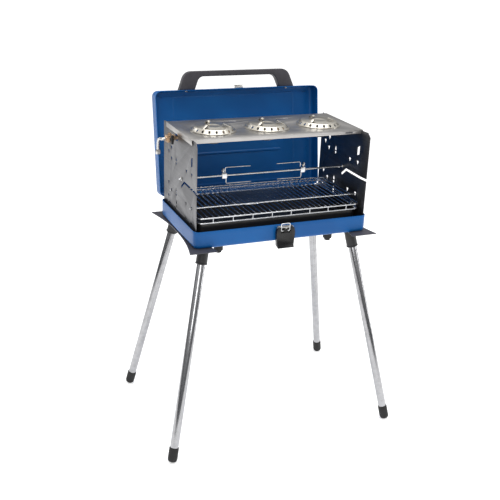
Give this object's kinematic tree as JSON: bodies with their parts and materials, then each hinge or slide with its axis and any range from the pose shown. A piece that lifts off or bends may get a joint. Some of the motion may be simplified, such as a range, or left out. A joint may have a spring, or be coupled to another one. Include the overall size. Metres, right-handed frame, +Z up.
{
  "type": "folding camp grill",
  "caption": "Suitcase gas grill set up on splayed plug-in legs: blue pressed case with open lid, steel side panels, hob plate with burner caps, spit and wire grids.",
  "frame": {"origin": "on the ground, under the middle of the bounding box of the grill as set up", "axes": "+X to the right end of the case, +Y to the rear where the lid is hinged, +Z up"},
  "size_m": [0.746, 0.514, 1.0484],
  "materials": {
    "blue_paint": "gloss paint over pressed steel",
    "stainless": "brushed stainless sheet",
    "cast_iron": "fine cast, matt",
    "brass": "dull machined brass",
    "black_plastic": "moulded black plastic",
    "handle_plastic": "charcoal plastic with a fine texture",
    "chrome": "bright plated steel",
    "grey_paint": "satin dark grey paint",
    "rubber": "black rubber"
  },
  "bodies": {
    "case": {"case_tray": "blue_paint", "panel_rod_left": "chrome", "panel_rod_right": "chrome", "side_panel_left": "stainless", "side_panel_right": "stainless", "spit_eyelet_left": "chrome", "spit_eyelet_right": "chrome", "grid_upper": "chrome", "drip_pan": "stainless", "case_foot_front_left": "rubber", "case_foot_front_right": "rubber", "case_foot_rear_left": "rubber", "case_foot_rear_right": "rubber", "hinge_leaf_tray_left": "stainless", "hinge_leaf_tray_right": "stainless", "hinge_pin_left": "chrome", "hinge_pin_right": "chrome", "latch_base": "stainless", "latch_pin": "chrome", "leg_bracket_left": "grey_paint", "leg_bracket_right": "grey_paint", "leg_socket_front_left": "black_plastic", "leg_socket_front_right": "black_plastic", "leg_socket_rear_left": "black_plastic", "leg_socket_rear_right": "black_plastic"},
    "lid": {"case_lid": "blue_paint", "carry_handle": "handle_plastic", "handle_screw_left": "chrome", "handle_screw_right": "chrome", "lid_catch": "chrome", "hinge_leaf_lid_left": "stainless", "hinge_leaf_lid_right": "stainless"},
    "latch_lever": {"latch_lever": "black_plastic"},
    "latch_loop": {"latch_loop": "chrome"},
    "hob": {"hob_plate": "stainless", "burner_cap_left": "stainless", "burner_cap_middle": "stainless", "burner_cap_right": "stainless", "burner_left": "cast_iron", "burner_middle": "cast_iron", "burner_right": "cast_iron", "gas_rail": "brass", "gas_tap_block": "brass", "gas_inlet_pipe": "chrome"},
    "gas_tap": {"gas_tap_handle": "black_plastic"},
    "spit": {"spit_rod": "chrome"},
    "fork_left": {"spit_fork_left": "chrome"},
    "fork_right": {"spit_fork_right": "chrome"},
    "thumb_screw_left": {"thumb_screw_left": "chrome"},
    "thumb_screw_right": {"thumb_screw_right": "chrome"},
    "grid_lower": {"grid_lower": "chrome"},
    "leg_front_left": {"leg_tube_front_left": "chrome", "leg_foot_front_left": "rubber"},
    "leg_front_right": {"leg_tube_front_right": "chrome", "leg_foot_front_right": "rubber"},
    "leg_rear_left": {"leg_tube_rear_left": "chrome", "leg_foot_rear_left": "rubber"},
    "leg_rear_right": {"leg_tube_rear_right": "chrome", "leg_foot_rear_right": "rubber"}
  },
  "joints": [
    {"name": "lid_hinge", "type": "hinge", "parent": "case", "child": "lid", "pos_m": [0, 0.16046, 0.678], "axis": [1, 0, 0], "range_deg": [0, 22]},
    {"name": "latch_lever_hinge", "type": "hinge", "parent": "case", "child": "latch_lever", "pos_m": [0, -0.16614, 0.668], "axis": [-1, 0, 0], "range_deg": [0, 45]},
    {"name": "latch_loop_hinge", "type": "hinge", "parent": "latch_lever", "child": "latch_loop", "pos_m": [0, -0.17114, 0.66], "axis": [1, 0, 0], "range_deg": [0, 60]},
    {"name": "hob_lift", "type": "slide", "parent": "case", "child": "hob", "axis": [0, 0, 1], "range_m": [0, 0.05]},
    {"name": "gas_tap_turn", "type": "hinge", "parent": "hob", "child": "gas_tap", "pos_m": [-0.28135, 0.015, 0.897], "axis": [0, 1, 0], "range_deg": [0, 90]},
    {"name": "spit_spin", "type": "hinge", "parent": "case", "child": "spit", "pos_m": [0, -0.01014, 0.788], "axis": [1, 0, 0], "continuous": true},
    {"name": "fork_slide_left", "type": "slide", "parent": "spit", "child": "fork_left", "axis": [1, 0, 0], "range_m": [-0.08, 0.05]},
    {"name": "fork_slide_right", "type": "slide", "parent": "spit", "child": "fork_right", "axis": [1, 0, 0], "range_m": [-0.05, 0.08]},
    {"name": "thumb_screw_turn_left", "type": "hinge", "parent": "fork_left", "child": "thumb_screw_left", "pos_m": [-0.134, -0.01014, 0.8], "axis": [0, 0, 1], "range_deg": [0, 270]},
    {"name": "thumb_screw_turn_right", "type": "hinge", "parent": "fork_right", "child": "thumb_screw_right", "pos_m": [0.125, -0.01014, 0.8], "axis": [0, 0, 1], "range_deg": [0, 270]},
    {"name": "grid_lower_slide", "type": "slide", "parent": "case", "child": "grid_lower", "axis": [0, -1, 0], "range_m": [0, 0.2]},
    {"name": "leg_pull_front_left", "type": "slide", "parent": "case", "child": "leg_front_left", "axis": [-0.1977, -0.1755, -0.9644], "range_m": [0, 0.06]},
    {"name": "leg_pull_front_right", "type": "slide", "parent": "case", "child": "leg_front_right", "axis": [0.1977, -0.1755, -0.9644], "range_m": [0, 0.06]},
    {"name": "leg_pull_rear_left", "type": "slide", "parent": "case", "child": "leg_rear_left", "axis": [-0.1977, 0.1755, -0.9644], "range_m": [0, 0.06]},
    {"name": "leg_pull_rear_right", "type": "slide", "parent": "case", "child": "leg_rear_right", "axis": [0.1977, 0.1755, -0.9644], "range_m": [0, 0.06]}
  ]
}
